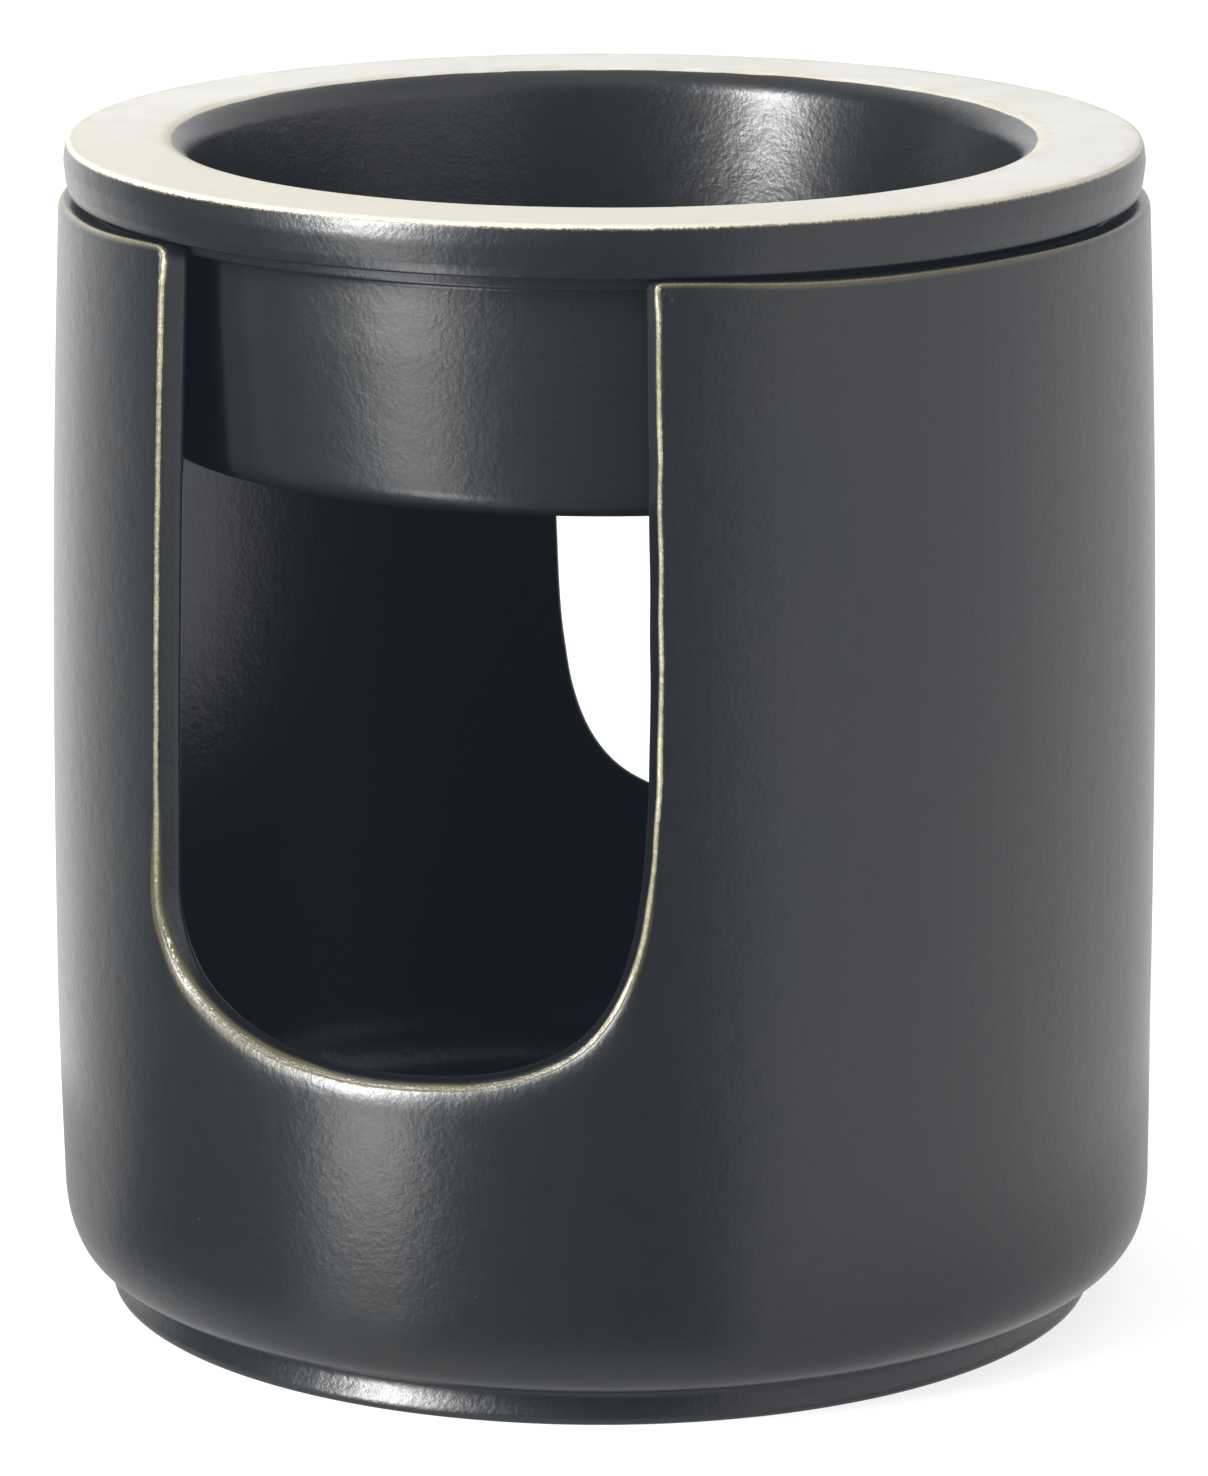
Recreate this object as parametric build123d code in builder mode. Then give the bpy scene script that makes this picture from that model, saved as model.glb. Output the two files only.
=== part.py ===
from build123d import *
import os

# Stoneware wax-melt burner: a round body with two opposite arched windows, and a loose dish
# that rests on its rim. Millimetres, +Z up. The origin is the centre of the foot's ground line.
# The windows face -Y (front) and +Y (back).

# Overall heights
overall_height = 106.1
rim_height = 101.3           # flat top of the body, where the dish sits

# Body: outside
foot_radius = 44.8           # at the ground
foot_height = 3.2
foot_top_radius = 46.5       # crease between foot and body
foot_edge = 0.6              # rounding of the foot's ground edges
heel_height = 11.2           # top of the rounded bottom corner
heel_radius = 50.0
heel_lean = 0.015            # outward slope of the wall just above the heel
belly_height = 56.0
belly_radius = 50.05
rim_radius = 48.8
rim_edge = 0.4               # rounding of the rim's two edges
curve_handle = 0.552         # handle length that makes a cubic curve a quarter ellipse

# Body: inside
wall = 2.5
foot_width = 3.4
recess_depth = 2.2           # hollow under the body, inside the foot ring
recess_draft = 0.8
floor_height = 6.0
floor_corner = 7.0

# Windows: each is a hand-cut U, open at the rim, that narrows towards the inside of the wall.
# Seen from outside, its left corner is tight and its right side is one long curve.
window_chord = 44.3          # distance from the axis at which the half width is measured
window_half_width = 24.05
window_flare = 0.98          # how fast a side closes in, per millimetre towards the axis
sill_height = 31.1           # lowest point of the U, on the outer face
sill_flare = 0.33            # how fast the sill climbs, per millimetre towards the axis
open_top = 104.0             # the cut runs out above the rim
left_curve = 17.5            # height of the left corner's curve above the sill
left_upright = 0.765         # its two handles, as shares of its height and width
left_flat = 0.516
right_curve = 62.0
right_upright = 0.895
right_flat = 0.876
outer_section = 54.0         # distances from the axis of the cut's two sections
inner_section = 38.0
inner_curve_scale = 0.5      # the curves are shorter at the inner section
back_window_turn = 181.0     # the back window was cut one degree off true
window_edge = 0.3            # softening of the cut edges

# Dish: flange
flange_underside = 102.3     # at the outer edge; it slopes down to the seat
flange_edge = 0.9
flange_top_edge = 0.3
seat_outer_radius = 47.2     # flat ring that rests on the rim
collar_radius = 45.8         # shallow collar that centres the dish in the rim
collar_bottom = 100.0
collar_edge = 0.5

# Dish: bowl
bowl_top_radius = 43.0
bowl_bottom_radius = 41.5
bowl_bottom = 79.6
bowl_corner = 3.0
bowl_cove = 0.8              # hollow corner between bowl and collar
mouth_radius = 39.2
mouth_edge = 1.0
hollow_floor_radius = 37.8
hollow_floor = 82.8
hollow_corner = 6.0

tolerance = 0.001            # for finding a turned part's edges by size


def ring(turned, radius, height):
    """The circular edge of this radius at this height."""
    return [
        edge
        for edge in turned.edges().filter_by(GeomType.CIRCLE)
        if abs(edge.radius - radius) < tolerance and abs(edge.arc_center.Z - height) < tolerance
    ]


# The body is one turned shape: foot ring, rounded heel, slightly barrelled wall and flat rim.
with BuildPart() as burner_body:
    with BuildSketch(Plane.XZ):
        with BuildLine():
            heel_width = heel_radius - foot_top_radius
            heel_rise = heel_height - foot_height
            Bezier(
                (foot_top_radius, foot_height),
                (foot_top_radius + curve_handle * heel_width, foot_height),
                (heel_radius - heel_lean * curve_handle * heel_rise, heel_height - curve_handle * heel_rise),
                (heel_radius, heel_height),
            )
            ThreePointArc(
                (heel_radius, heel_height),
                (belly_radius, belly_height),
                (rim_radius, rim_height),
            )
            Line((rim_radius, rim_height), (rim_radius - wall, rim_height))
            ThreePointArc(
                (rim_radius - wall, rim_height),
                (belly_radius - wall, belly_height),
                (heel_radius - wall, floor_height),
            )
            Polyline(
                (heel_radius - wall, floor_height),
                (0, floor_height),
                (0, recess_depth),
                (foot_radius - foot_width - recess_draft, recess_depth),
                (foot_radius - foot_width, 0),
                (foot_radius, 0),
                (foot_top_radius, foot_height),
            )
        make_face()
    revolve(axis=Axis.Z)
    fillet(ring(burner_body, foot_radius, 0), radius=foot_edge)
    fillet(ring(burner_body, foot_radius - foot_width, 0), radius=foot_edge)
    fillet(ring(burner_body, heel_radius - wall, floor_height), radius=floor_corner)
    fillet(ring(burner_body, rim_radius - wall, rim_height), radius=rim_edge)
    fillet(ring(burner_body, rim_radius, rim_height), radius=rim_edge)

    for turn in (0, back_window_turn):
        for distance, scale in ((outer_section, 1.0), (inner_section, inner_curve_scale)):
            half = window_half_width + window_flare * (distance - window_chord)
            sill = sill_height + sill_flare * (heel_radius - distance)
            left = left_curve * scale
            right = right_curve * scale
            with BuildSketch(Plane.XZ.rotated((0, 0, turn)).offset(distance)):
                with BuildLine():
                    Polyline(
                        (-half, sill + left),
                        (-half, open_top),
                        (half, open_top),
                        (half, sill + right),
                    )
                    Bezier(
                        (-half, sill + left),
                        (-half, sill + left * (1 - left_upright)),
                        (-half * left_flat, sill),
                        (0, sill),
                    )
                    Bezier(
                        (0, sill),
                        (half * right_flat, sill),
                        (half, sill + right * (1 - right_upright)),
                        (half, sill + right),
                    )
                make_face()
        loft(ruled=True, mode=Mode.SUBTRACT)
    cut_edges = burner_body.edges().filter_by(GeomType.BSPLINE)
    cut_edges = cut_edges.filter_by_position(Axis.X, -window_half_width, window_half_width)
    fillet(cut_edges, radius=window_edge)
burner_body.part.label = "burner_body"

# The dish is one turned shape: a bowl with a wide flange and a shallow collar under it.
with BuildPart() as dish:
    with BuildSketch(Plane.XZ):
        with BuildLine():
            Polyline(
                (0, bowl_bottom),
                (bowl_bottom_radius, bowl_bottom),
                (bowl_top_radius, collar_bottom),
                (collar_radius, collar_bottom),
                (collar_radius, rim_height),
                (seat_outer_radius, rim_height),
                (rim_radius, flange_underside),
                (rim_radius, overall_height),
                (mouth_radius, overall_height),
                (hollow_floor_radius, hollow_floor),
                (0, hollow_floor),
                (0, bowl_bottom),
            )
        make_face()
    revolve(axis=Axis.Z)
    fillet(ring(dish, bowl_bottom_radius, bowl_bottom), radius=bowl_corner)
    fillet(ring(dish, bowl_top_radius, collar_bottom), radius=bowl_cove)
    fillet(ring(dish, collar_radius, collar_bottom), radius=collar_edge)
    fillet(ring(dish, rim_radius, flange_underside), radius=flange_edge)
    fillet(ring(dish, rim_radius, overall_height), radius=flange_top_edge)
    fillet(ring(dish, mouth_radius, overall_height), radius=mouth_edge)
    fillet(ring(dish, hollow_floor_radius, hollow_floor), radius=hollow_corner)
dish.part.label = "dish"

os.makedirs("parts", exist_ok=True)
export_step(burner_body.part, "parts/burner_body.step")
export_step(dish.part, "parts/dish.step")
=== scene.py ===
from math import atan2, cos, pi, radians, sin

import bpy
import numpy as np
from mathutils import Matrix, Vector, kdtree


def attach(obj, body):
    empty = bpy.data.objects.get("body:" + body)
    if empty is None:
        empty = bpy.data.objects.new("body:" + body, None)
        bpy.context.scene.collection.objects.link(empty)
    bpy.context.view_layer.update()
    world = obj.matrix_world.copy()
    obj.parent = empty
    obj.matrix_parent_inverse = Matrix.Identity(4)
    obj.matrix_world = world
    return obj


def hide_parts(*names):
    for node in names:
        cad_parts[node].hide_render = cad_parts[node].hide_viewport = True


# A two-piece stoneware wax-melt burner: a body with two U-shaped windows, and a loose dish.
# Lengths are millimetres until a mesh is made; azimuths run from -Y towards +X. A turned
# profile is a list of (radius, height). The arc length u stands for azimuth on both faces.

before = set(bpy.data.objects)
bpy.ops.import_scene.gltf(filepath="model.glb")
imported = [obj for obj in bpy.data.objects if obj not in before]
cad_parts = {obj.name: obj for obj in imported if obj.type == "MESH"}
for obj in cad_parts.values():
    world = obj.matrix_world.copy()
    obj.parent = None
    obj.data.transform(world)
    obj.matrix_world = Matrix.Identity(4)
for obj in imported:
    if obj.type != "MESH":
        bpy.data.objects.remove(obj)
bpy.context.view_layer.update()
rng = np.random.default_rng(11)

MM = 0.001
TURN = 2 * pi
CAMERA_AZIMUTH, CAMERA_ELEVATION = 22.9, 13.597

# ---- Sizes: wall and floor as in the CAD model, heel and foot as they look in the photo ----------
RIM = 101.3
HEEL_TOP, HEEL_R = 11.2, 50.0
BARREL, BARREL_HEIGHT = 1.39, 94.8      # how far the wall draws in, and over what height
WALL = 2.5
FLOOR, FLOOR_CORNER = 6.0, 7.0
FLOOR_RADII = (38.5, 36, 33, 29.5, 25.5, 21, 16.5, 12, 8, 4.5, 2, 0.8)
HEEL = ((50.0, 11.2), (50.05, 5.8), (48.75, 3.6), (44.9, 3.15))     # a Bezier curve
FOOT = (
    # neck
    (44.72, 3.08), (44.6, 2.94), (44.54, 2.72), (44.54, 2.45), (44.6, 2.1),
    # side of the foot ring
    (44.85, 1.5), (45.15, 0.95), (45.28, 0.5), (45.2, 0.2), (45.0, 0.06),
    # ground face
    (44.75, 0.0), (43.6, 0.0), (42.7, 0.0), (41.9, 0.0),
    # bevel and side of the recess
    (41.6, 0.07), (41.38, 0.25), (41.2, 0.55), (40.95, 1.2), (40.7, 1.85), (40.5, 2.08),
    (40.2, 2.2), (39.2, 2.24),
)
RECESS = 2.25
RECESS_RADII = (37, 34, 30, 25, 20, 15, 10, 6, 3, 1.2)
# How far the hand-thrown heel and foot sit off the axis, to the camera's right: (height, shift).
OFF_AXIS = ((0, -0.35), (2.4, -0.20), (3.6, 0.0), (6, 0.22), (10, 0.20), (25, 0))
REF_R = 50.0                            # one radius turns azimuth into arc length for both faces
PERIOD = TURN * REF_R

# ---- Mesh resolution -----------------------------------------------------------------------------
COLS = 320
WIN_COLS = 51
PANEL_COLS = (COLS - 2 * WIN_COLS) // 2
LOW_ROWS = 20                           # below the windows
HIGH_ROWS = 70                          # beside the windows
HEEL_POINTS, FLOOR_CORNER_POINTS = 18, 13
OUTLINE_POINTS, RIM_POINTS = 900, 600
RELAX_STEPS = 2500
RULE_STEPS = 60
FINE_STEP = 0.08


def waves(rng, count, low, high):
    """Random harmonics for a slow, repeatable unevenness: (whole number per turn, phase, weight)."""
    numbers = rng.integers(low, high, count)
    phases = rng.uniform(0, TURN, count)
    return [(int(k), float(p), 1 / (1 + 0.4 * i)) for i, (k, p) in enumerate(zip(numbers, phases))]


def sum_waves(waves_in, angle):
    total = sum(w for _, _, w in waves_in)
    return sum(w * np.sin(k * angle + p) for k, p, w in waves_in) / total


WALL_WAVES = waves(rng, 5, 2, 7)
RIM_WAVES = waves(rng, 6, 3, 12)
CUT_WAVES = waves(rng, 8, 20, 70)
DISH_WAVES = waves(rng, 5, 2, 6)
LIP_WAVES = waves(rng, 6, 5, 16)


def wall_radius(z):
    s = (z - HEEL_TOP) / BARREL_HEIGHT
    return HEEL_R - BARREL * s * (2 * s - 1)


def wobble(phi, z):
    """How far the hand-finished wall stands back from true, always inwards."""
    inset, uneven, twist = 0.07, 0.05, 0.9
    lift = np.clip(z / RIM, 0, 1)
    return -inset - uneven * sum_waves(WALL_WAVES, phi + twist * lift) * lift


def place(radius, phi, z):
    """Cylinder position to x, y, z, with the heel and foot off the axis."""
    off = np.interp(z, *zip(*OFF_AXIS))
    right = radians(CAMERA_AZIMUTH)
    x = radius * np.sin(phi) + off * cos(right)
    y = -radius * np.cos(phi) + off * sin(right)
    return np.stack(np.broadcast_arrays(x, y, z), -1)


# ---- Curves and lines ----------------------------------------------------------------------------
def smooth(t):
    """A smooth step from 0 to 1, for t cut off at 0 and 1."""
    t = np.clip(t, 0, 1)
    return t * t * (3 - 2 * t)


def bezier(p0, p1, p2, p3, t):
    t = t[:, None]
    a, b, c, d = (np.array(p, float) for p in (p0, p1, p2, p3))
    return a * (1 - t) ** 3 + 3 * b * t * (1 - t) ** 2 + 3 * c * t * t * (1 - t) + d * t ** 3


def rounded(before, corner, after, t):
    """A corner rounded off by a parabola between the points before and after it."""
    return before * (1 - t) ** 2 + 2 * corner * t * (1 - t) + after * t * t


def arc(centre, radius, start, stop, count):
    """Points on a circular arc in (radius, height), angles in degrees, ends included."""
    t = np.radians(np.linspace(start, stop, count))
    return [(centre[0] + radius * cos(a), centre[1] + radius * sin(a)) for a in t]


def along(points):
    """The length along a line at each of its points."""
    return np.concatenate([[0], np.cumsum(np.linalg.norm(np.diff(points, axis=0), axis=1))])


def fine_line(points):
    """The same closed line with a point about every FINE_STEP."""
    closed = np.concatenate([points, points[:1]])
    s = along(closed)
    even = np.arange(0, s[-1], FINE_STEP)
    return np.stack([np.interp(even, s, closed[:, c]) for c in range(3)], 1)


# ---- Window outlines -----------------------------------------------------------------------------
# Each window is cut along lines ruled between two upright planes: (distance from the axis,
# size of the rounded corners). The second window is turned a little off the first one's back.
WINDOW_TURNS = (0.0, radians(181.0))
SECTIONS = ((54.0, 1.0), (38.0, 0.5))
WINDOW_HALF, WINDOW_HALF_AT, WINDOW_FLARE = 24.05, 44.3, 0.98
WINDOW_TOP = 104.0                      # above the rim, which cuts the outline off
SILL, SILL_RISE = 31.1, 0.33            # the sill rises inwards
LEFT_CORNER, RIGHT_CORNER = 17.5, 62.0  # heights of the two rounded corners
LEFT_ROUND, RIGHT_ROUND = 1.5, 0.75     # how far the corners at the rim are rounded off
ROUND_POINTS = 25
HALF_ROUND = ROUND_POINTS // 2
CUT_UNEVEN = 0.07
INNER_UNEVEN = 0.6                      # share of the cut's unevenness on the inner face
RIM_LOW, RIM_UNEVEN = 100.72, 0.07
RIM_LIFT, LIFT_AT, LIFT_SPREAD = 0.42, radians(29), radians(11)


def section_outline(distance, scale):
    """One planar section of the cut, from its top left down and round to its top right."""
    half = WINDOW_HALF + WINDOW_FLARE * (distance - WINDOW_HALF_AT)
    sill = SILL + SILL_RISE * (HEEL_R - distance)
    left, right = LEFT_CORNER * scale, RIGHT_CORNER * scale
    t = np.linspace(0, 1, OUTLINE_POINTS)
    side = t[:-1, None]
    left_top, left_low = np.array([-half, WINDOW_TOP]), np.array([-half, sill + left])
    right_top, right_low = np.array([half, WINDOW_TOP]), np.array([half, sill + right])
    down = left_top * (1 - side) + left_low * side
    up = right_low * (1 - side) + right_top * side
    corner = bezier(left_low, (-half, sill + left * 0.235), (-half * 0.516, sill), (0, sill), t)
    curve = bezier((0, sill), (half * 0.876, sill), (half, sill + right * 0.105), right_low, t)
    return np.concatenate([down, corner[:-1], curve, up[1:]])


def on_wall(outer, inner, thickness):
    """Where each line ruled between the two sections meets the wall's outer or inner face."""
    far, near = SECTIONS[0][0], SECTIONS[1][0]
    distance = np.full(len(outer), 45.0)
    for _ in range(RULE_STEPS):
        share = ((distance - near) / (far - near))[:, None]
        point = inner + (outer - inner) * share
        r = wall_radius(point[:, 1]) - thickness
        distance = np.sqrt(r * r - point[:, 0] ** 2)
    return np.arctan2(point[:, 0], distance), point[:, 1]


def rim_height(phi):
    """The rim stands a little higher beside each window, where the cut clay was pressed up."""
    lift = 0
    for turn in WINDOW_TURNS:
        away = np.abs((phi - turn + pi) % TURN - pi)
        lift = lift + np.exp(-((away - LIFT_AT) / LIFT_SPREAD) ** 2)
    return RIM_LOW + RIM_LIFT * np.clip(lift, 0, 1) + RIM_UNEVEN * sum_waves(RIM_WAVES, phi)


# A line on the wall has four columns: u and z on the outer face, u and z on the inner face.
def arc_lengths(piece):
    return along(piece[:, :2])


def moved_round(piece, turns):
    """The same line, this many whole turns further round."""
    piece = piece.copy()
    piece[:, [0, 2]] += turns * PERIOD
    return piece


def at(piece, lengths, s):
    return np.stack([np.interp(s, lengths, piece[:, c]) for c in range(4)], -1)


def trimmed(piece, start, end):
    """The line without these lengths at its start and end."""
    lengths = arc_lengths(piece)
    stop = lengths[-1] - end
    inside = (lengths > start) & (lengths < stop)
    return np.concatenate([[at(piece, lengths, start)], piece[inside], [at(piece, lengths, stop)]])


def resampled(piece, segments, start=0.0, end=0.0):
    """The line with this many segments, shorter ones towards a dense end."""
    fade = 5.0
    k = np.arange(segments)
    step = 1 - start * np.exp(-k / fade) - end * np.exp(-(segments - 1 - k) / fade)
    s = np.concatenate([[0], np.cumsum(step)])
    lengths = arc_lengths(piece)
    return at(piece, lengths, s / s[-1] * lengths[-1])


def window_piece(turn):
    """The cut's edge on both faces, from the rim at its left down and up to the rim at its right."""
    far, near = (section_outline(d, s) for d, s in SECTIONS)
    phi_out, z_out = on_wall(far, near, 0)
    phi_in, z_in = on_wall(far, near, WALL)
    piece = np.stack([(phi_out + turn) * REF_R, z_out, (phi_in + turn) * REF_R, z_in], 1)
    length = arc_lengths(piece)
    angle = length / length[-1] * TURN * 0.45 + 3 * turn
    uneven = CUT_UNEVEN * sum_waves(CUT_WAVES, angle)
    normal = np.gradient(piece[:, :2], axis=0)
    normal /= np.linalg.norm(normal, axis=1)[:, None]
    shift = np.stack([-normal[:, 1], normal[:, 0]], 1) * uneven[:, None]
    piece[:, :2] += shift
    piece[:, 2:] += shift * INNER_UNEVEN
    keep = piece[:, 1] < rim_height(piece[:, 0] / REF_R)
    first, last = np.argmax(keep), len(keep) - np.argmax(keep[::-1])
    ends = []
    for inside, outside in ((first, first - 1), (last - 1, last)):
        top = rim_height(piece[inside, 0] / REF_R)
        share = (top - piece[inside, 1]) / (piece[outside, 1] - piece[inside, 1])
        end = piece[inside] + (piece[outside] - piece[inside]) * share
        end[3] = end[1]
        ends.append(end)
    return np.concatenate([ends[:1], piece[first:last], ends[1:]])


def rim_piece(start, stop):
    """The rim's edge on both faces, from the end of one window to the start of the next."""
    t = np.linspace(0, 1, RIM_POINTS)[:, None]
    rim = start * (1 - t) + stop * t
    rim[:, 1] = rim_height(rim[:, 0] / REF_R)
    rim[:, 3] = rim[:, 1]
    return rim


def edge_loop():
    """The wall's whole upper edge as one closed loop, window by window, each with the rim after it.

    Returns it twice: with the nodes of the mesh, and with many points.
    """
    windows = [window_piece(turn) for turn in WINDOW_TURNS]
    rims = [rim_piece(windows[0][-1], windows[1][0])]
    rims.append(rim_piece(windows[1][-1], moved_round(windows[0], 1)[0]))
    t = np.linspace(0, 1, ROUND_POINTS)[:, None]
    corners = []
    for w, window in enumerate(windows):
        before = moved_round(rims[1], -1) if w == 0 else rims[0]
        cut = trimmed(window, LEFT_ROUND, RIGHT_ROUND)
        left = rounded(trimmed(before, 0, LEFT_ROUND)[-1], window[0], cut[0], t)
        right = rounded(cut[-1], window[-1], trimmed(rims[w], RIGHT_ROUND, 0)[0], t)
        corners.append((left, cut, right))
    loop, dense = [], []
    for w, (left, cut, right) in enumerate(corners):
        piece = np.concatenate([left[HALF_ROUND:-1], cut, right[1:HALF_ROUND + 1]])
        slope = np.gradient(piece[:, :2], axis=0)
        angle = np.degrees(np.arctan2(slope[:, 1], slope[:, 0]))
        lengths = arc_lengths(piece)
        middle = lengths[np.argmin(piece[:, 1])]
        # The grid's rows end on the steep sides of the cut, its columns on the bottom between them.
        first = np.argmax((angle > -45) & (lengths > 20) & (lengths < middle))
        second = np.argmax((angle > 45) & (lengths > middle))
        loop.append(resampled(piece[:first + 1], HIGH_ROWS, start=0.8)[:-1])
        loop.append(resampled(piece[first:second + 1], WIN_COLS)[:-1])
        loop.append(resampled(piece[second:], HIGH_ROWS, end=0.85)[:-1])
        dense.append(piece)
        next_left = moved_round(corners[1 - w][0], w)
        rim = trimmed(rims[w], RIGHT_ROUND, LEFT_ROUND)
        piece = np.concatenate([right[HALF_ROUND:-1], rim, next_left[1:HALF_ROUND + 1]])
        loop.append(resampled(piece, PANEL_COLS, start=0.85, end=0.8)[:-1])
        dense.append(piece)
    return np.concatenate(loop), np.concatenate(dense)


LOOP, DENSE = edge_loop()


def loop_position(k):
    """Which grid node the k-th node of the loop is: (row, column)."""
    w, k = divmod(k, 2 * HIGH_ROWS + WIN_COLS + PANEL_COLS)
    left = w * (WIN_COLS + PANEL_COLS)
    right = left + WIN_COLS
    if k < HIGH_ROWS:
        return LOW_ROWS + HIGH_ROWS - k, left
    k -= HIGH_ROWS
    if k < WIN_COLS:
        return LOW_ROWS, left + k
    k -= WIN_COLS
    if k < HIGH_ROWS:
        return LOW_ROWS + k, right
    return LOW_ROWS + HIGH_ROWS, right + k - HIGH_ROWS


GRID_NODE = [loop_position(k) for k in range(len(LOOP))]


def set_back(u, z, radius, by):
    """The closed loop moved into the clay by this distance along the face."""
    across = u * radius / REF_R
    du = np.roll(across, -1) - np.roll(across, 1)
    du[[0, -1]] += PERIOD
    dz = np.roll(z, -1) - np.roll(z, 1)
    size = np.hypot(du, dz)
    return u + dz / size * by * REF_R / radius, z - du / size * by


def wall_grid(u_edge, z_edge, z_bottom):
    """Even quads between a level ring at the bottom and the loop at the top."""
    rows = LOW_ROWS + HIGH_ROWS
    u_bottom = -WIN_COLS / 2 * PERIOD / COLS + np.arange(COLS) * PERIOD / COLS
    u = np.tile(u_bottom, (rows + 1, 1))
    z = np.tile(np.linspace(z_bottom, RIM, rows + 1)[:, None], (1, COLS))
    fixed = np.zeros((rows + 1, COLS), bool)
    used = np.ones((rows + 1, COLS), bool)
    fixed[0] = True
    lefts = (0, WIN_COLS + PANEL_COLS)
    for left in lefts:
        used[LOW_ROWS + 1:, left + 1:left + WIN_COLS] = False
    for k, (i, j) in enumerate(GRID_NODE):
        u[i, j], z[i, j] = u_edge[k], z_edge[k]
        fixed[i, j] = True
    # A first guess: straight from the bottom to the loop, and across the panels.
    for j in range(COLS):
        i = np.where(fixed[1:, j])[0][0] + 1
        share = np.linspace(0, 1, i + 1)
        u[:i + 1, j] = u[0, j] + (u[i, j] - u[0, j]) * share
        z[:i + 1, j] = z[0, j] + (z[i, j] - z[0, j]) * share
    share = np.linspace(0, 1, PANEL_COLS + 1)[:-1]
    for left in lefts:
        first = left + WIN_COLS
        last = (first + PANEL_COLS) % COLS
        for i in range(LOW_ROWS, rows):
            end = u[i, last] + (PERIOD if last == 0 else 0)
            u[i, first:first + PANEL_COLS] = u[i, first] + (end - u[i, first]) * share
            z[i, first:first + PANEL_COLS] = z[i, first] + (z[i, last] - z[i, first]) * share
    # Then every free node moves to the middle of its four neighbours, many times over.
    free = (used & ~fixed)[1:-1]
    for _ in range(RELAX_STEPS):
        before, after = np.roll(u, 1, 1), np.roll(u, -1, 1)
        before[:, 0] -= PERIOD
        after[:, -1] += PERIOD
        new_u = (before[1:-1] + after[1:-1] + u[:-2] + u[2:]) / 4
        new_z = (np.roll(z, 1, 1)[1:-1] + np.roll(z, -1, 1)[1:-1] + z[:-2] + z[2:]) / 4
        u[1:-1][free] = new_u[free]
        z[1:-1][free] = new_z[free]
    return u, z, used


# ---- Meshes --------------------------------------------------------------------------------------
class MeshMaker:
    """Collects vertices and quads, then makes one smooth mesh object in metres."""

    def __init__(self):
        self.points, self.faces, self.count = [], [], 0

    def add(self, points):
        points = np.asarray(points, float).reshape(-1, 3)
        first = self.count
        self.points.append(points)
        self.count += len(points)
        return np.arange(first, self.count)

    def strip(self, a, b):
        """Quads between two closed rows of vertices of equal length."""
        for j in range(len(a)):
            k = (j + 1) % len(a)
            self.faces.append((a[j], a[k], b[k], b[j]))

    def rings(self, rows, flip=False):
        for a, b in zip(rows[:-1], rows[1:]):
            if flip:
                a, b = b, a
            self.strip(a, b)

    def fan(self, ring, centre):
        for j in range(len(ring)):
            self.faces.append((ring[j], ring[(j + 1) % len(ring)], centre))

    def grid(self, nodes, used, flip=False):
        """Quads between the used nodes of a wall grid, closed round the axis."""
        for i in range(len(nodes) - 1):
            for j in range(COLS):
                k = (j + 1) % COLS
                if used[i, j] and used[i, k] and used[i + 1, j] and used[i + 1, k]:
                    quad = (nodes[i, j], nodes[i, k], nodes[i + 1, k], nodes[i + 1, j])
                    self.faces.append(quad[::-1] if flip else quad)

    def turned(self, profile, phi, bend):
        """One ring of vertices for each (radius, height) of a turned profile."""
        return [self.add(bend(np.full(len(phi), float(r)), phi, np.full(len(phi), float(z))))
                for r, z in profile]

    def make(self, name):
        mesh = bpy.data.meshes.new(name)
        points = np.concatenate(self.points) * MM
        mesh.from_pydata(points.tolist(), [], [tuple(map(int, face)) for face in self.faces])
        mesh.validate()
        mesh.update()
        mesh.polygons.foreach_set("use_smooth", np.ones(len(mesh.polygons), bool))
        obj = bpy.data.objects.new(name, mesh)
        bpy.context.scene.collection.objects.link(obj)
        return obj


def store(obj, name, values):
    layer = obj.data.attributes.new(name, "FLOAT", "POINT")
    layer.data.foreach_set("value", np.asarray(values, np.float32))


def nearest(points, targets):
    """The distance from each point to the nearest target."""
    tree = kdtree.KDTree(len(targets))
    for i, p in enumerate(targets):
        tree.insert(p, i)
    tree.balance()
    return np.array([tree.find(p)[2] for p in points])


# ---- The body ------------------------------------------------------------------------------------
LIP, LIP_UNDER, LIP_AT_RIM = 0.55, 2.6, 0.45    # rounding on the outer face, and what adds to it
CREST_SHARE, CREST_MOST = 0.5, 1.0
CUT_ROUND, CUT_ROUND_SHARE = 0.4, 0.3           # rounding on the cut face, and with the lip's
INNER_ROUND = 0.62
OUTER_STEPS = (0.12, 0.25, 0.37, 0.48, 0.58, 0.68, 0.78, 0.89, 1.0)
CUT_STEPS = (0.33, 0.67)
INNER_STEPS = (0.0, 0.2, 0.4, 0.6, 0.8)
EDGE_MOST = 30                                  # edge distances beyond this don't matter
# Height below which the cut faces get their full painted shade, and over how much it fades out towards
# the rim.
CUT_SHADE_TOP, CUT_SHADE_FADE = 99.0, 3.0


def body_bend(radius, phi, z):
    return place(radius + wobble(phi, z), phi, z)


def wall_point(u, z, thickness):
    phi = u / REF_R
    return body_bend(wall_radius(z) - thickness, phi, z)


def lip_reach(z):
    """How far the rounded edge reaches down the outer face: wide under the windows, narrow elsewhere."""
    return LIP + LIP_UNDER * smooth((44 - z) / 9) + LIP_AT_RIM * smooth((z - 97.5) / 2.5)


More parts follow.
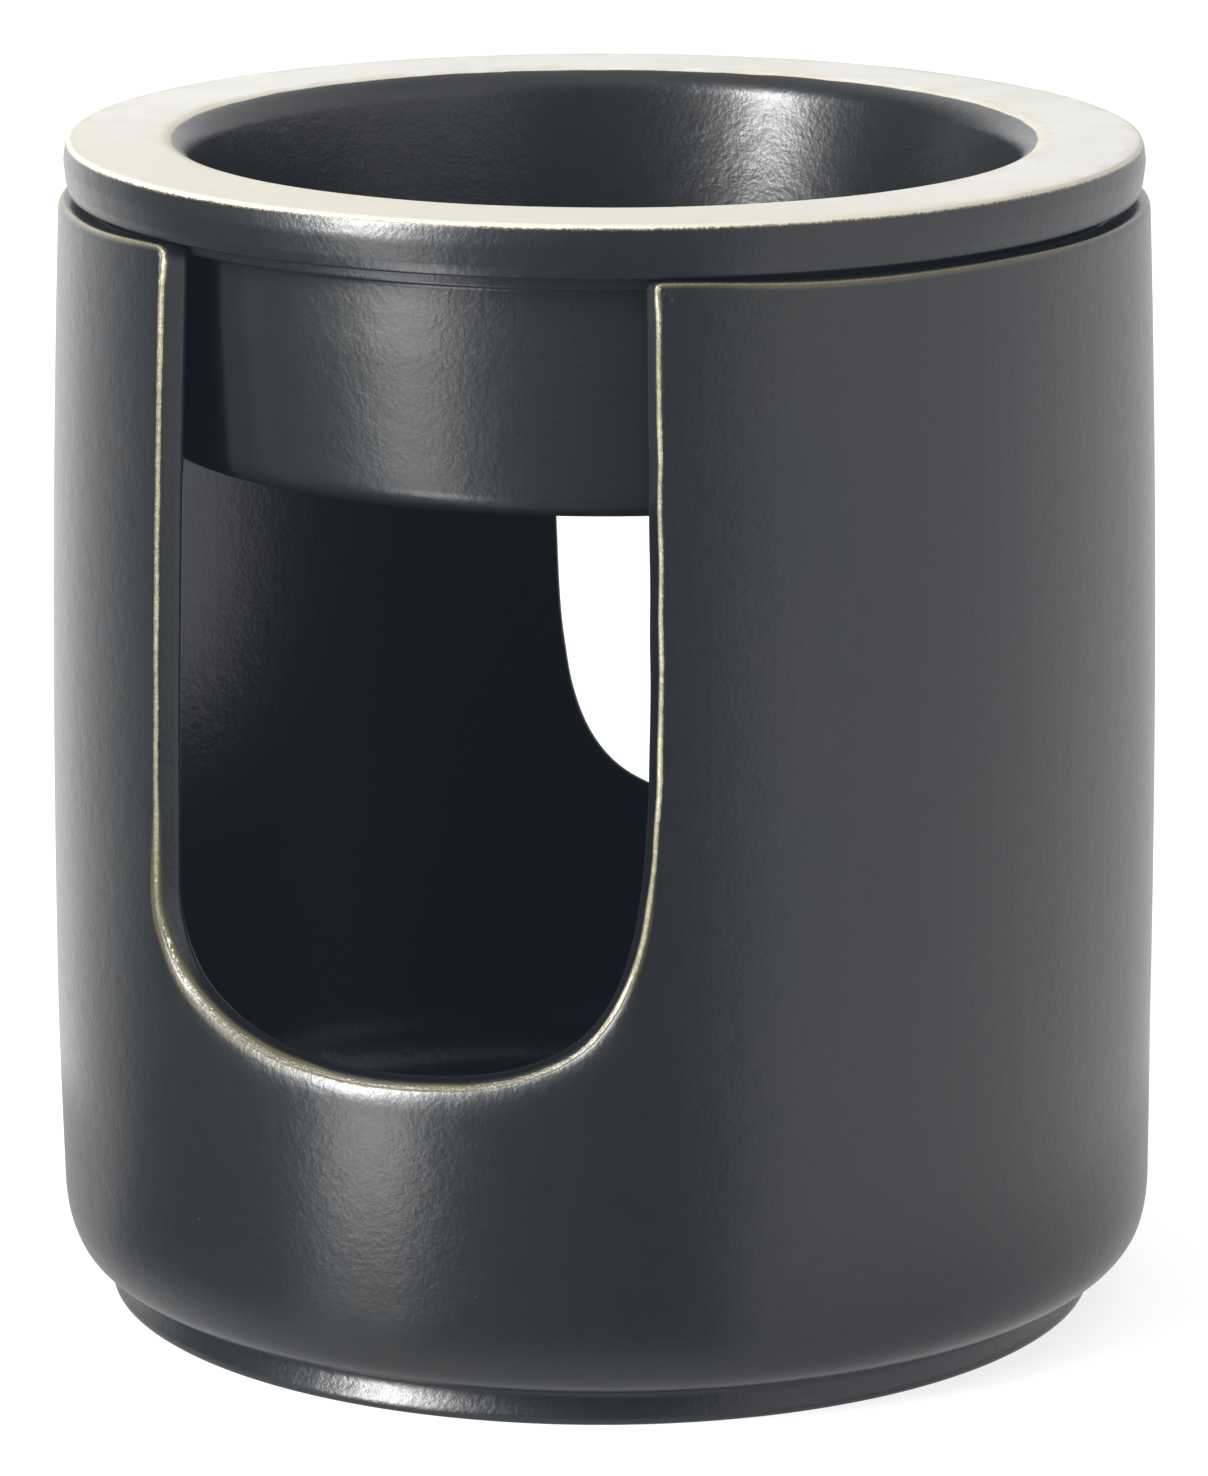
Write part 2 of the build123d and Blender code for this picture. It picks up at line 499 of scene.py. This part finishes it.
def edge_strips(maker, tangent_out, tangent_in):
    """The rounded edge and cut face, swept round the loop from the outer to the inner face.

    Returns the vertices of the cut face.
    """
    points = np.concatenate(maker.points)
    start, finish = points[tangent_out], points[tangent_in]
    u_out, z_out, u_in, z_in = LOOP.T
    sharp_out, sharp_in = wall_point(u_out, z_out, 0), wall_point(u_in, z_in, WALL)
    across = sharp_in - sharp_out
    across = across / np.linalg.norm(across, axis=1)[:, None]
    face_out = sharp_out + across * (CUT_ROUND + CUT_ROUND_SHARE * lip_reach(z_out)[:, None])
    face_in = sharp_in - across * INNER_ROUND
    outer = [maker.add(rounded(start, sharp_out, face_out, t)) for t in OUTER_STEPS]
    cut = [maker.add(face_out + (face_in - face_out) * t) for t in CUT_STEPS]
    inner = [maker.add(rounded(face_in, sharp_in, finish, t)) for t in INNER_STEPS]
    maker.rings([tangent_out, *outer, *cut, *inner, tangent_in])
    return np.concatenate([outer[-1], *cut])


def make_body():
    maker = MeshMaker()
    u_out, z_out, u_in, z_in = LOOP.T
    u, z = set_back(u_out, z_out, HEEL_R, lip_reach(z_out))
    outer_u, outer_z, used = wall_grid(u, z, HEEL_TOP)
    u, z = set_back(u_in, z_in, HEEL_R - WALL, INNER_ROUND)
    inner_u, inner_z, _ = wall_grid(u, z, FLOOR + FLOOR_CORNER)
    outer = maker.add(wall_point(outer_u, outer_z, 0)).reshape(outer_u.shape)
    inner = maker.add(wall_point(inner_u, inner_z, WALL)).reshape(inner_u.shape)
    maker.grid(outer, used)
    maker.grid(inner, used, flip=True)
    rows, cols = zip(*GRID_NODE)
    cut_face = edge_strips(maker, outer[rows, cols], inner[rows, cols])

    # Outside, below the wall: heel, foot ring and recess.
    heel = bezier(*HEEL, np.linspace(0, 1, HEEL_POINTS))[1:]
    profile = [*heel, *FOOT, *((r, RECESS) for r in RECESS_RADII)]
    rings = maker.turned(profile, outer_u[0] / REF_R, body_bend)
    maker.rings([outer[0], *rings], flip=True)
    maker.fan(rings[-1][::-1], maker.add([(0, 0, RECESS)])[0])

    # Inside: the rounded corner and the chamber's floor.
    centre = (wall_radius(FLOOR + FLOOR_CORNER) - WALL - FLOOR_CORNER, FLOOR + FLOOR_CORNER)
    corner = arc(centre, FLOOR_CORNER, 0, -90, FLOOR_CORNER_POINTS)[1:]
    profile = [*corner, *((r, FLOOR) for r in FLOOR_RADII)]
    rings = maker.turned(profile, inner_u[0] / REF_R, body_bend)
    maker.rings([inner[0], *rings])
    maker.fan(rings[-1], maker.add([(0, 0, FLOOR)])[0])
    obj = maker.make("body_shell")

    # edge_out is the distance to the crest of the rounded edge, where the glaze runs thin.
    points = np.array([v.co for v in obj.data.vertices]) / MM
    u_out, z_out = DENSE[:, 0], DENSE[:, 1]
    crest = np.clip(lip_reach(z_out) - LIP, 0, CREST_MOST) * CREST_SHARE
    crest_line = fine_line(wall_point(u_out, z_out, crest))
    store(obj, "edge_out", np.minimum(nearest(points, crest_line), EDGE_MOST))
    # cut_face holds the painted shade of the cut faces: full low down, fading out towards the rim.
    cut = np.zeros(len(points))
    cut[cut_face] = np.clip((CUT_SHADE_TOP - points[cut_face, 2]) / CUT_SHADE_FADE, 0, 1)
    store(obj, "cut_face", cut)
    return obj


# ---- The dish ------------------------------------------------------------------------------------
DISH_UNDER, DISH_HOLLOW, DISH_TOP = 79.6, 82.8, 106.06
DISH_CORNERS = (                        # radius, height, rounding, points of the rounding
    (0.9, DISH_UNDER, 0, 1),
    (42.05, DISH_UNDER, 2.4, 12),
    (42.5, 86.0, 14.0, 6),
    (43.0, 93.5, 30.0, 6),
    (43.05, 100.0, 0.8, 8),
    (45.8, 100.0, 0.45, 6),
    (45.8, 101.3, 0.25, 4),
    (47.85, 101.36, 0.36, 6),
    (48.14, 102.4, 1.8, 7),
    (48.34, 104.2, 3.2, 7),
    (48.18, 105.4, 2.0, 7),
    (47.93, DISH_TOP, 0.5, 8),
    (37.45, DISH_TOP, 2.7, 18),
    (34.2, DISH_HOLLOW, 8.0, 16),
    (0.9, DISH_HOLLOW, 0, 1),
)
CLAY_OUT = (48.08, 105.78)              # where the bare clay starts, on the rounded outer edge
CLAY_IN = (38.7, 105.6)                 # and where it ends, on the rounded mouth
LONGEST_STEP = 1.5
TILT, LOWER_SIDE = radians(0.06), radians(CAMERA_AZIMUTH + 90)


def rounded_path(corners):
    """A turned profile from corners (r, z, rounding, points); rounding 0 keeps the corner."""
    path = []
    for n, (r, z, radius, count) in enumerate(corners):
        here = np.array([r, z], float)
        if radius == 0:
            path.append(tuple(here))
            continue
        back = np.array(corners[n - 1][:2], float) - here
        ahead = np.array(corners[n + 1][:2], float) - here
        back /= np.linalg.norm(back)
        ahead /= np.linalg.norm(ahead)
        half = np.arccos(np.clip(back @ ahead, -1, 1)) / 2
        reach = radius / np.tan(half)
        middle = here + (back + ahead) / np.linalg.norm(back + ahead) * radius / np.sin(half)
        a, b = here + back * reach - middle, here + ahead * reach - middle
        first, last = atan2(a[1], a[0]), atan2(b[1], b[0])
        sweep = (last - first + pi) % TURN - pi
        for t in np.linspace(0, 1, count):
            angle = first + sweep * t
            path.append((middle[0] + radius * cos(angle), middle[1] + radius * sin(angle)))
    return path


def filled(path, longest):
    """The path with long runs divided."""
    out = [path[0]]
    for a, b in zip(path[:-1], path[1:]):
        n = max(1, int(np.ceil(np.hypot(b[0] - a[0], b[1] - a[1]) / longest)))
        out += [(a[0] + (b[0] - a[0]) * k / n, a[1] + (b[1] - a[1]) * k / n)
                for k in range(1, n + 1)]
    return out


def dish_bend(radius, phi, z):
    """The dish a little smaller than true, out of round, uneven on top and off level."""
    inset, uneven, dip = 0.04, 0.04, 0.02
    grow = np.clip((z - 80) / 22, 0, 1) * np.clip(radius / 40, 0, 1)
    r = radius - inset - uneven * sum_waves(DISH_WAVES, phi) * grow
    top = np.clip((z - 103) / 3, 0, 1)
    z = z - dip * top * (1 + sum_waves(LIP_WAVES, phi))
    z = z - r * np.cos(phi - LOWER_SIDE) * np.tan(TILT)
    return place(r, phi, z)


def make_dish():
    maker = MeshMaker()
    path = np.array(filled(rounded_path(DISH_CORNERS), LONGEST_STEP))
    rings = maker.turned(path, np.arange(COLS) * TURN / COLS, dish_bend)
    maker.rings(rings)
    under, hollow = maker.add([(0, 0, DISH_UNDER), (0, 0, DISH_HOLLOW)])
    maker.fan(rings[0][::-1], under)
    maker.fan(rings[-1], hollow)
    obj = maker.make("dish_shell")

    # Lengths along the profile, from the clay's outer edge inwards and from its inner edge outwards.
    lengths = along(path)
    outer = lengths[np.argmin(np.linalg.norm(path - CLAY_OUT, axis=1))]
    inner = lengths[np.argmin(np.linalg.norm(path - CLAY_IN, axis=1))]
    values = np.repeat(lengths, COLS)
    far = 60
    store(obj, "from_outer", np.append(values - outer, [-far, far]))
    store(obj, "from_mouth", np.append(inner - values, [far, -far]))
    return obj


# ---- Materials -----------------------------------------------------------------------------------
class Nodes:
    """Writes a node tree as nested calls. A value is a number, a colour or another node's output."""

    def __init__(self, tree):
        self.tree = tree
        self.here = None                # the place that patterns are drawn at, in millimetres

    def new(self, kind, inputs=(), **settings):
        """A node of this kind, with its settings and with values on its inputs."""
        node = self.tree.nodes.new("ShaderNode" + kind)
        for name, value in settings.items():
            setattr(node, name, value)
        for name, value in dict(inputs).items():
            self.plug(value, node.inputs[name])
        return node

    def plug(self, value, socket):
        if isinstance(value, bpy.types.NodeSocket):
            self.tree.links.new(value, socket)
        elif socket.type == "RGBA":
            socket.default_value = (*value, 1.0)
        else:
            socket.default_value = value

    def draw_on_object(self):
        place = self.new("TexCoord").outputs["Object"]
        scale = self.new("VectorMath", {0: place, "Scale": 1 / MM}, operation="SCALE")
        self.here = scale.outputs[0]

    def xyz(self, vector):
        return self.new("SeparateXYZ", {0: vector}).outputs

    def attribute(self, name):
        return self.new("Attribute", attribute_name=name).outputs["Fac"]

    def math(self, operation, *values):
        return self.new("Math", enumerate(values), operation=operation).outputs[0]

    def add(self, a, b):
        return self.math("ADD", a, b)

    def less(self, a, b):
        return self.math("SUBTRACT", a, b)

    def times(self, a, b):
        return self.math("MULTIPLY", a, b)

    def rest(self, share):
        """What this share leaves of 1."""
        return self.less(1.0, share)

    def length(self, vector):
        return self.new("VectorMath", {0: vector}, operation="LENGTH").outputs["Value"]

    def noise(self, scale, detail=2.0, roughness=0.5, warp=0.0, shift=0.0):
        """Noise with this many features per millimetre."""
        vector = self.here
        if shift:
            move = {0: vector, 1: (shift, shift * 1.7, -shift)}
            vector = self.new("VectorMath", move, operation="ADD").outputs[0]
        inputs = {"Vector": vector, "Scale": scale, "Detail": detail, "Roughness": roughness,
                  "Distortion": warp}
        return self.new("TexNoise", inputs).outputs["Fac"]

    def cells(self, scale):
        """Distance to scattered points, and two random numbers for each."""
        node = self.new("TexVoronoi", {"Vector": self.here, "Scale": scale})
        pick = self.new("SeparateColor", {0: node.outputs["Color"]})
        return node.outputs["Distance"], pick.outputs[0], pick.outputs[1]

    def dots(self, distance, pick, core, rim, above):
        """Small round spots on the cells whose random number is above this one."""
        spot = self.ramp(distance, core, rim, 1, 0)
        return self.times(spot, self.math("GREATER_THAN", pick, above))

    def ramp(self, value, low, high, start=0.0, end=1.0):
        """A smooth step of value between low and high."""
        inputs = {"Value": value, "From Min": low, "From Max": high, "To Min": start, "To Max": end}
        return self.new("MapRange", inputs, interpolation_type="SMOOTHSTEP").outputs["Result"]

    def mix(self, share, a, b):
        """A colour this far from a to b."""
        return self.new("Mix", {0: share, 6: a, 7: b}, data_type="RGBA").outputs[2]

    def bump(self, height, distance, under=None):
        inputs = {"Strength": 1.0, "Distance": distance * MM, "Height": height}
        if under is not None:
            inputs["Normal"] = under
        return self.new("Bump", inputs).outputs[0]


BLACK = (0.0088, 0.0104, 0.0108)
BLACK_WARM = (0.0105, 0.0114, 0.0106)
BLACK_DEEP = (0.0060, 0.0078, 0.0085)
# painted shade on the cut faces, darker than the glaze
BLACK_CUT_SHADE = (0.004, 0.005, 0.006)
BROWN_SPECK, PALE_SPECK = (0.045, 0.032, 0.018), (0.11, 0.105, 0.09)
OLIVE = (0.060, 0.053, 0.027)
TAN = (0.22, 0.19, 0.11)
TAN_WEAK = (0.12, 0.10, 0.045)
TAN_DISH = (0.20, 0.155, 0.095)
CREAM = (0.60, 0.575, 0.47)
CLAY = (0.585, 0.58, 0.55)
CLAY_DARK = (0.51, 0.49, 0.44)
CLAY_WARM = (0.505, 0.472, 0.395)
CLAY_STAIN, CLAY_SPECK = (0.44, 0.40, 0.27), (0.25, 0.17, 0.10)
GLAZE_ROUGH, ROUGH_RANGE = 0.24, 0.10
BARE_EDGE_ROUGH, CLAY_ROUGH = 0.3, 0.38         # added to the glaze's roughness
GLAZE_IOR = 1.5
PEEL_DEPTH, EDGE_DEPTH, CLAY_DEPTH = 0.038, 0.05, 0.04


def glazed_material(name):
    """A new material: the helper for its nodes, and its shader."""
    material = bpy.data.materials.new(name)
    material.use_nodes = True
    n = Nodes(material.node_tree)
    n.tree.nodes.clear()
    n.draw_on_object()
    shader = n.new("BsdfPrincipled", {"IOR": GLAZE_IOR})
    n.new("OutputMaterial", {"Surface": shader.outputs[0]})
    return material, n, shader


def glaze_base(n):
    """Colour, roughness and bump height of the satin black glaze."""
    cloud = n.ramp(n.noise(0.035, 3, 0.55), 0.35, 0.65)
    mottle = n.ramp(n.noise(0.45, 4, 0.6, warp=0.4), 0.45, 0.75, 0, 0.6)
    colour = n.mix(mottle, n.mix(cloud, BLACK, BLACK_WARM), BLACK_DEEP)
    rough = n.add(GLAZE_ROUGH, n.times(n.noise(0.9, 4, 0.6), ROUGH_RANGE))
    distance, pick, other = n.cells(0.42)
    speck_colour = n.mix(n.math("GREATER_THAN", other, 0.62), BROWN_SPECK, PALE_SPECK)
    colour = n.mix(n.dots(distance, pick, 0.02, 0.055, 0.90), colour, speck_colour)
    peel = n.add(n.noise(0.55, 3, 0.5), n.times(n.noise(2.2, 3, 0.6), 0.55))
    distance, pick, _ = n.cells(0.23)
    pinhole = n.dots(distance, pick, 0.012, 0.04, 0.95)
    return colour, rough, n.less(peel, n.times(pinhole, 0.7))


def body_material():
    """Black glaze that breaks to olive, tan and bare cream along the edge of the wall."""
    material, n, shader = glazed_material("body_satin_glaze")
    colour, rough, height = glaze_base(n)
    x, y, z = n.xyz(n.here)
    slow = n.ramp(n.noise(0.07, 2, 0.5, shift=13.0), 0.35, 0.7)
    fast = n.noise(1.3, 3, 0.6, shift=5.0)
    fine = n.less(n.noise(5.0, 2, 0.5), 0.5)
    edge = n.add(n.attribute("edge_out"), n.times(fine, 0.14))

    # How far from the edge the glaze is thin: less on the rim, which hides under the dish.
    reach = n.add(n.times(slow, 0.10), n.times(fast, 0.20))
    reach = n.times(reach, n.ramp(z, 99.6, 100.4, 1.0, 0.3))
    # Where more glaze has run and the break is weaker: low on each window's left side and its sill.
    run = n.times(n.ramp(n.times(x, y), 100, 450), n.ramp(z, 40, 56, 1, 0))
    weak = n.math("MAXIMUM", n.times(run, 0.95), n.ramp(z, 31.5, 36, 0.9, 0))
    flecks = n.ramp(n.noise(2.6, 3, 0.6, shift=8.0), 0.54, 0.62)

    core = n.ramp(n.less(edge, n.times(reach, 0.55)), 0.0, 0.12, 1, 0)
    core = n.times(core, n.rest(n.times(weak, n.rest(flecks))))
    tan = n.ramp(n.less(edge, reach), 0.02, 0.22, 1, 0)
    tan = n.times(tan, n.rest(n.times(weak, n.less(0.65, n.times(flecks, 0.6)))))
    pooled = n.ramp(n.noise(0.05, 1, 0.5, shift=31.0), 0.45, 0.62)
    pooled = n.math("MAXIMUM", n.times(pooled, 0.4), run)
    wide = n.times(n.add(0.12, pooled), 0.60)
    olive = n.ramp(n.less(edge, n.add(reach, wide)), -0.10, 0.30, 1, 0)
    colour = n.mix(olive, colour, OLIVE)
    colour = n.mix(n.times(tan, 0.85), colour, n.mix(weak, TAN, TAN_WEAK))
    colour = n.mix(core, colour, CREAM)

    # The ground ring is wiped bare, and the cut faces get painted shade: a darker black for the shade
    # inside the window's cut.
    bare_foot = n.ramp(n.add(z, n.times(n.noise(0.8, 3), 0.12)), 0.10, 0.16, 1, 0)
    colour = n.mix(bare_foot, colour, n.mix(n.noise(1.1, 4, 0.6), CLAY, CLAY_DARK))
    colour = n.mix(n.times(n.attribute("cut_face"), 0.8), colour, BLACK_CUT_SHADE)
    bare = n.math("MAXIMUM", core, bare_foot)
    normal = n.bump(n.times(tan, -1.0), EDGE_DEPTH, n.bump(height, PEEL_DEPTH))
    n.plug(colour, shader.inputs["Base Color"])
    n.plug(n.add(rough, n.times(bare, BARE_EDGE_ROUGH)), shader.inputs["Roughness"])
    n.plug(normal, shader.inputs["Normal"])
    return material


def dish_material():
    """Black glaze, with the flat top of the flange left as bare clay."""
    material, n, shader = glazed_material("dish_satin_glaze")
    colour, rough, height = glaze_base(n)
    ragged = n.times(n.less(n.noise(3.6, 4, 0.7), 0.5), 0.5)
    soft = n.times(n.less(n.noise(0.25, 3, 0.5, shift=9.0), 0.5), 0.35)
    out_edge = n.add(n.attribute("from_outer"), ragged)
    in_edge = n.add(n.attribute("from_mouth"), soft)
    clay = n.times(n.ramp(out_edge, -0.05, 0.05), n.ramp(in_edge, -0.06, 0.10))
    rim_tan = n.times(n.ramp(out_edge, -0.22, 0.0), n.ramp(in_edge, -0.14, 0.04))

    # Bare clay: blotches, stains near both edges, grain, a darker and warmer front and dark specks.
    blotch = n.ramp(n.noise(0.16, 3, 0.55, shift=4.0), 0.35, 0.7, 0, 0.5)
    stain = n.times(n.noise(0.22, 4, 0.65, shift=2.0), -4.4)
    stain = n.add(n.math("MINIMUM", out_edge, in_edge), stain)
    grain = n.ramp(n.noise(3.2, 4, 0.65), 0.45, 0.8, 0, 0.35)
    _, y, _ = n.xyz(n.here)
    # The bare clay turns darker and warmer towards the front (-y), by position along y.
    front_to_back = n.add(y, n.times(n.noise(0.06, 3, 0.5, shift=17.0), 30.0))
    distance, pick, _ = n.cells(0.75)
    speck = n.dots(distance, pick, 0.04, 0.10, 0.9)
    bare = n.mix(blotch, CLAY, CLAY_DARK)
    bare = n.mix(n.ramp(stain, -2.4, -0.4, 0.6, 0), bare, CLAY_STAIN)
    bare = n.mix(grain, bare, CLAY_DARK)
    bare = n.mix(n.ramp(front_to_back, -34, 20, 0.85, 0), bare, CLAY_WARM)
    bare = n.mix(n.times(speck, 0.6), bare, CLAY_SPECK)

    colour = n.mix(n.times(rim_tan, 0.9), colour, TAN_DISH)
    colour = n.mix(clay, colour, bare)
    clay_height = n.times(n.times(n.noise(4.5, 4, 0.6), clay), 1.2)
    height = n.add(n.times(height, n.rest(clay)), clay_height)
    normal = n.bump(clay, CLAY_DEPTH, n.bump(height, PEEL_DEPTH))
    n.plug(colour, shader.inputs["Base Color"])
    n.plug(n.add(rough, n.times(clay, CLAY_ROUGH)), shader.inputs["Roughness"])
    n.plug(normal, shader.inputs["Normal"])
    return material


body = make_body()
dish = make_dish()
body.data.materials.append(body_material())
dish.data.materials.append(dish_material())
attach(body, "body")
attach(dish, "dish")
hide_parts("burner_body")
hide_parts("dish")

# ---- Studio --------------------------------------------------------------------------------------
# How bright the studio is round the object, by azimuth from the camera (degrees, radiance).
ROOM = (
    (-180, 1.2), (-150, 1.7), (-130, 1.0), (-108, 0.11), (-66, 0.06), (-60, 0.09), (-54, 8.5),
    (-40, 8.5), (-37, 0.12), (14, 0.12), (40, 1.22), (112, 1.32), (150, 1.05), (180, 1.2),
)
ROOM_MOST = 8.5
OVERHEAD, OVERHEAD_FROM, OVERHEAD_FULL = 0.84, 0.55, 0.9        # radiance; from this upward tilt
WALL_SEES = 56.0                        # radius at which the floor's light fits the wall's reflections
FLOOR_HALF_SIZE = 6.0                   # metres
MIDDLE = Vector((0, 0, 0.055))          # of the object, in metres: what camera and light aim at
FLOOR_NEAR, FLOOR_DIM = 0.8, 0.094      # near the foot, and share of full light just beyond it
FLOOR_GREY, FLOOR_ROUGH, FLOOR_GLOSS, FLOOR_GLOW = 0.4, 0.9, 0.1, 0.74  # as the camera sees it


def grey(bright):
    """A radiance as a colour, for emission at the strength ROOM_MOST."""
    return [bright / ROOM_MOST] * 3


def room_light(n, x, y, from_wall=0.0):
    """The room's brightness in a direction, or at a floor point as seen from the wall's radius."""
    angle = n.math("ARCTAN2", x, n.times(y, -1.0))
    share = n.math("FRACT", n.math("MULTIPLY_ADD", angle, 1 / TURN, 1.5 - CAMERA_AZIMUTH / 360))
    if from_wall:
        half = n.times(n.less(share, 0.5), pi)
        radius = n.math("SQRT", n.add(n.math("POWER", x, 2.0), n.math("POWER", y, 2.0)))
        shift = n.math("DIVIDE", n.times(n.math("SINE", half), from_wall / TURN), radius)
        share = n.add(share, shift)
    ramp = n.new("ValToRGB", {0: share})
    ramp.color_ramp.interpolation = "EASE"
    stops = ramp.color_ramp.elements
    while len(stops) < len(ROOM):
        stops.new(0.5)
    for stop, (azimuth, bright) in zip(stops, ROOM):
        stop.position = azimuth / 360 + 0.5
        stop.color = (*grey(bright), 1)
    return ramp.outputs[0]


def plain_floor():
    """Shown pale and plain; in the glaze's reflections it is as bright as the room behind it."""
    material = bpy.data.materials.new("studio_floor")
    material.use_nodes = True
    n = Nodes(material.node_tree)
    n.tree.nodes.clear()
    n.draw_on_object()
    x, y, _ = n.xyz(n.here)
    away = n.length(n.here)
    dip = n.times(n.ramp(away, 160, 210, 0, 0.75), n.ramp(away, 270, 340, 1, 0.3))
    most = n.less(n.ramp(away, 85, 130, FLOOR_DIM, 1.0), dip)
    far = n.math("MINIMUM", room_light(n, x, y, WALL_SEES), most)
    colour = n.mix(n.ramp(away, 50, 75), grey(FLOOR_NEAR), far)
    glow = n.new("Emission", {"Strength": ROOM_MOST, "Color": colour})
    shown = n.new("BsdfPrincipled", {
        "Base Color": [FLOOR_GREY] * 3,
        "Roughness": FLOOR_ROUGH,
        "Specular IOR Level": FLOOR_GLOSS,
        "Emission Color": (1, 1, 1),
        "Emission Strength": FLOOR_GLOW,
    })
    seen = n.new("LightPath").outputs["Is Camera Ray"]
    both = n.new("MixShader", {0: seen, 1: glow.outputs[0], 2: shown.outputs[0]})
    n.new("OutputMaterial", {"Surface": both.outputs[0]})
    mesh = bpy.data.meshes.new("floor")
    s = FLOOR_HALF_SIZE
    corners = [(-s, -s, 0), (s, -s, 0), (s, s, 0), (-s, s, 0)]
    mesh.from_pydata(corners, [], [(0, 1, 2, 3)])
    mesh.materials.append(material)
    floor = bpy.data.objects.new("floor", mesh)
    bpy.context.scene.collection.objects.link(floor)


def studio_world():
    world = bpy.data.worlds.new("studio")
    bpy.context.scene.world = world
    world.use_nodes = True
    n = Nodes(world.node_tree)
    x, y, z = n.xyz(n.new("TexCoord").outputs["Generated"])
    up = n.ramp(z, OVERHEAD_FROM, OVERHEAD_FULL)
    background = n.tree.nodes["Background"]
    n.plug(n.mix(up, room_light(n, x, y), grey(OVERHEAD)), background.inputs["Color"])
    n.plug(ROOM_MOST, background.inputs["Strength"])


def towards(azimuth, elevation):
    """The direction from the object to this azimuth and elevation, in degrees."""
    a, e = radians(azimuth), radians(elevation)
    return Vector((sin(a) * cos(e), -cos(a) * cos(e), sin(e)))


def softbox(name, azimuth, elevation, distance, width, height, power):
    """A rectangular light aimed at the middle of the object; angles in degrees, lengths in metres."""
    data = bpy.data.lights.new(name, "AREA")
    data.shape = "RECTANGLE"
    data.size, data.size_y, data.energy = width, height, power
    light = bpy.data.objects.new(name, data)
    bpy.context.scene.collection.objects.link(light)
    away = towards(azimuth, elevation)
    light.location = MIDDLE + away * distance
    light.rotation_euler = away.to_track_quat("Z", "Y").to_euler()


plain_floor()
studio_world()
softbox("key", azimuth=CAMERA_AZIMUTH - 51, elevation=21, distance=0.75,
        width=0.11, height=0.42, power=8.0)

view = bpy.context.scene.view_settings
view.view_transform = "Standard"
view.look = "None"
view.use_curve_mapping = True
view.curve_mapping.black_level = (-0.0076, -0.0098, -0.0152)   # lifts the blacks, blue the most

# ---- Camera --------------------------------------------------------------------------------------
CAMERA_DISTANCE = 0.650
camera_data = bpy.data.cameras.new("camera")
camera = bpy.data.objects.new("camera", camera_data)
bpy.context.scene.collection.objects.link(camera)
back = towards(CAMERA_AZIMUTH, CAMERA_ELEVATION)
camera.location = MIDDLE + back * CAMERA_DISTANCE
camera.rotation_mode = "QUATERNION"
camera.rotation_quaternion = back.to_track_quat("Z", "Y")
camera_data.sensor_width = 36.0
camera_data.lens = 174.12
camera_data.shift_x = -0.0003
camera_data.shift_y = -0.0341
camera_data.clip_start, camera_data.clip_end = 0.01, 20
camera_data.dof.use_dof = False
bpy.context.scene.camera = camera
